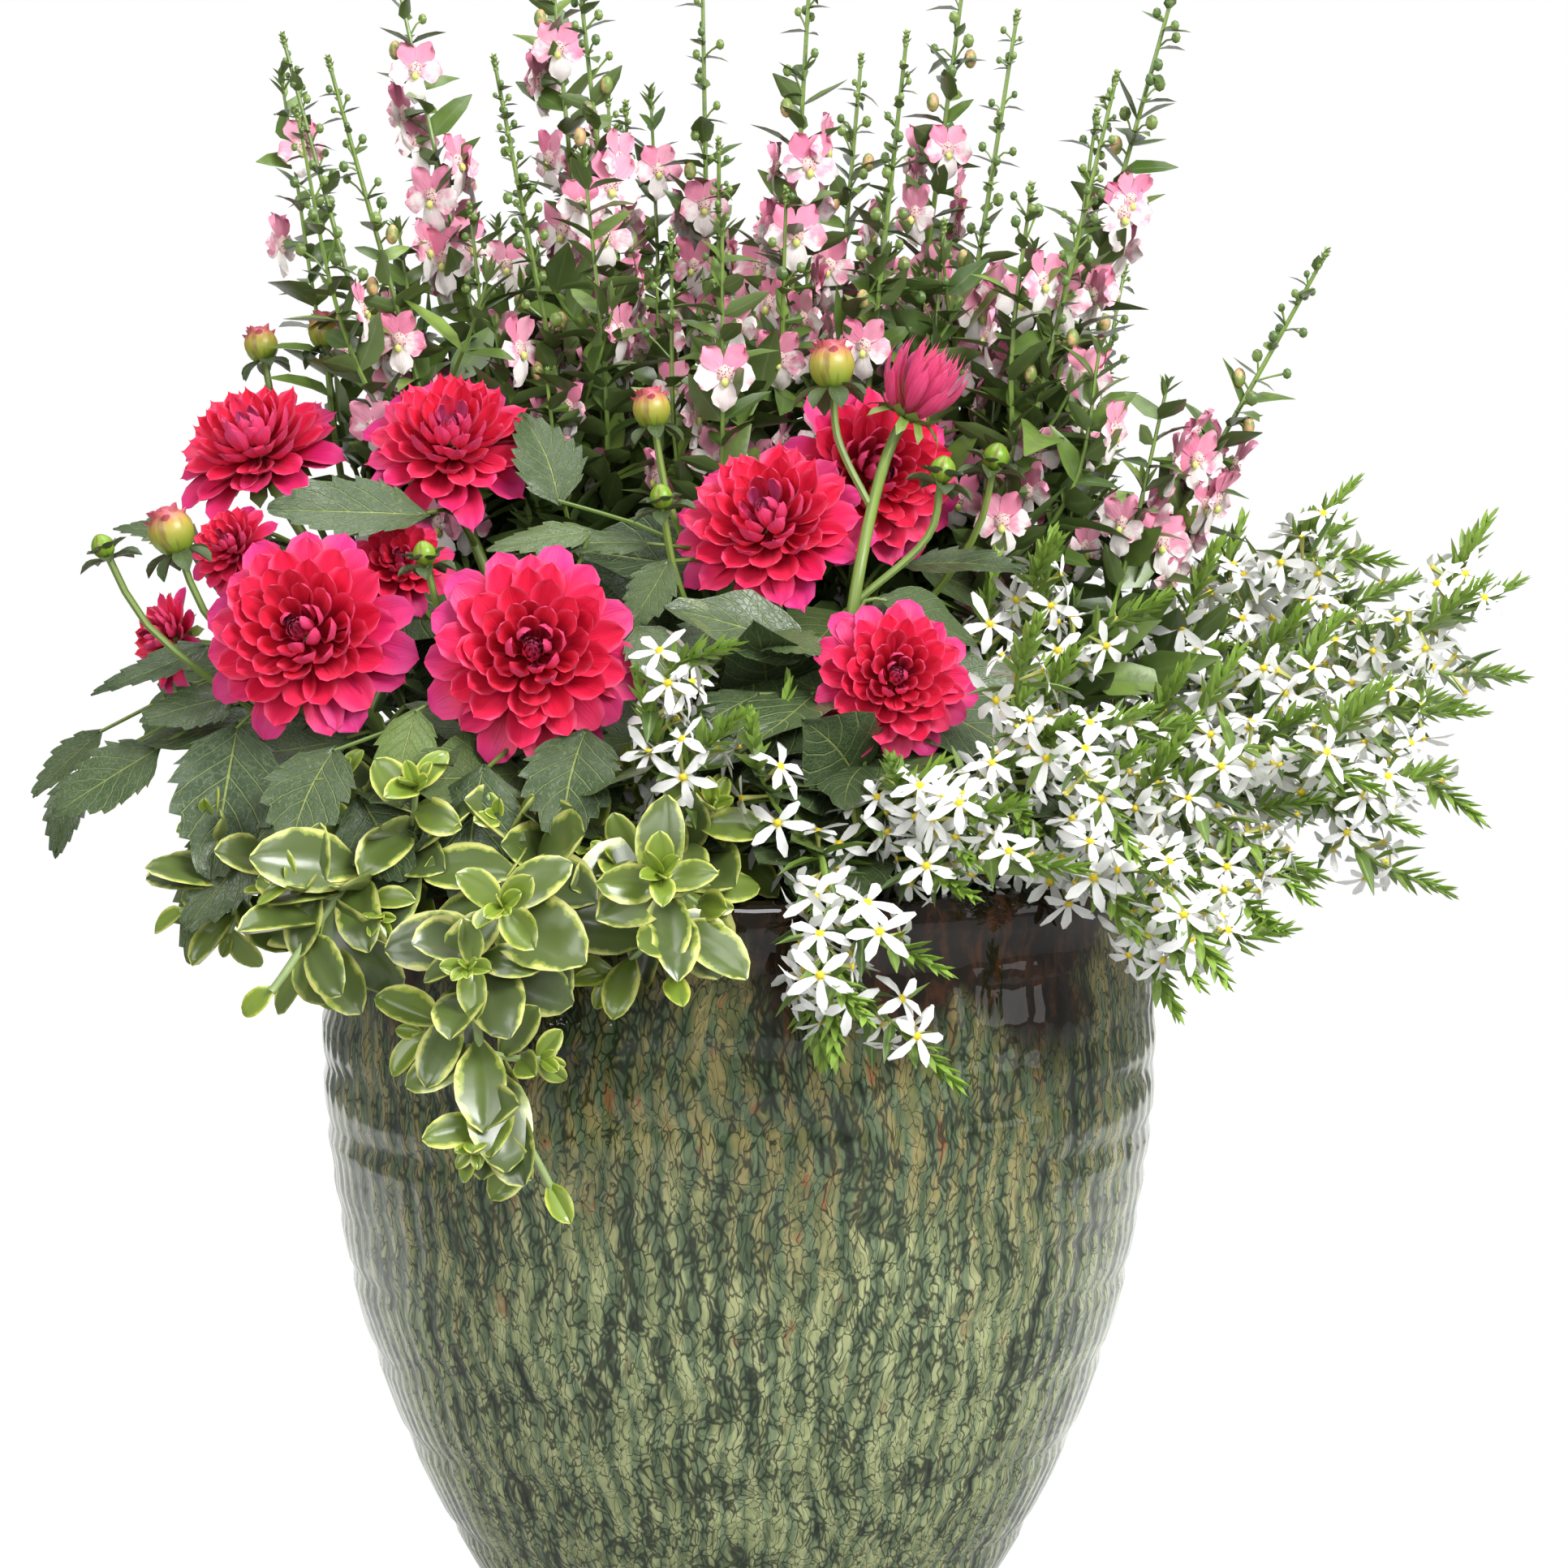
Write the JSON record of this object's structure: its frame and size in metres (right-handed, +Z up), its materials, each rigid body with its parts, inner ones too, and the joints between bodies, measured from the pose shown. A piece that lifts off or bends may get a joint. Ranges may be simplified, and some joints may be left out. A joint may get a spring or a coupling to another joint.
{
  "type": "potted dahlia",
  "caption": "Glazed tapered planter filled with dahlias, tall flower spikes, white fan flowers and a trailing succulent.",
  "frame": {"origin": "centre of the pot's flat foot, on the surface that it stands on", "axes": "+Z up, -Y the front with most of the dahlia blooms, +X to the right seen from the front"},
  "size_m": [0.6833, 0.4529, 0.7962],
  "materials": {
    "glazed_pot": "glossy crackled green glaze with rust-brown rim",
    "soil": "crumbly dark potting soil",
    "dahlia_petal": "satin petal",
    "dahlia_leaf": "slightly glossy leaf",
    "angelonia": "slightly glossy leaf, pink and white flowers",
    "fan_flower": "matte leaf, white flowers",
    "ice_plant": "glossy succulent leaf with cream margin"
  },
  "bodies": {
    "root": {"angelonia_spike_1": "angelonia", "angelonia_spike_10": "angelonia", "angelonia_spike_11": "angelonia", "angelonia_spike_12": "angelonia", "angelonia_spike_13": "angelonia", "angelonia_spike_14": "angelonia", "angelonia_spike_15": "angelonia", "angelonia_spike_16": "angelonia", "angelonia_spike_17": "angelonia", "angelonia_spike_18": "angelonia", "angelonia_spike_2": "angelonia", "angelonia_spike_3": "angelonia", "angelonia_spike_4": "angelonia", "angelonia_spike_5": "angelonia", "angelonia_spike_6": "angelonia", "angelonia_spike_7": "angelonia", "angelonia_spike_8": "angelonia", "angelonia_spike_9": "angelonia", "dahlia_bloom_1": "dahlia_petal", "dahlia_bloom_1_c": "dahlia_petal", "dahlia_bloom_2": "dahlia_petal", "dahlia_bloom_2_a": "dahlia_petal", "dahlia_bloom_3": "dahlia_petal", "dahlia_bloom_3_c": "dahlia_petal", "dahlia_bloom_4": "dahlia_petal", "dahlia_bloom_5": "dahlia_petal", "dahlia_bloom_6": "dahlia_petal", "dahlia_bloom_7": "dahlia_petal", "dahlia_bloom_8": "dahlia_petal", "dahlia_bloom_9": "dahlia_petal", "dahlia_stem_1": "dahlia_leaf", "dahlia_stem_2": "dahlia_leaf", "dahlia_stem_3": "dahlia_leaf", "dahlia_stem_4": "dahlia_leaf", "dahlia_stem_5": "dahlia_leaf", "dahlia_stem_6": "dahlia_leaf", "dahlia_stem_7": "dahlia_leaf", "dahlia_stem_8": "dahlia_leaf", "dahlia_stem_9": "dahlia_leaf", "fan_flower_shoot_1": "fan_flower", "fan_flower_shoot_10": "fan_flower", "fan_flower_shoot_11": "fan_flower", "fan_flower_shoot_12": "fan_flower", "fan_flower_shoot_13": "fan_flower", "fan_flower_shoot_2": "fan_flower", "fan_flower_shoot_3": "fan_flower", "fan_flower_shoot_4": "fan_flower", "fan_flower_shoot_5": "fan_flower", "fan_flower_shoot_6": "fan_flower", "fan_flower_shoot_7": "fan_flower", "fan_flower_shoot_8": "fan_flower", "fan_flower_shoot_9": "fan_flower", "ice_plant_shoot_1": "ice_plant", "ice_plant_shoot_2": "ice_plant", "ice_plant_shoot_3": "ice_plant", "ice_plant_shoot_4": "ice_plant", "pot": "glazed_pot", "soil": "soil"}
  },
  "joints": []
}
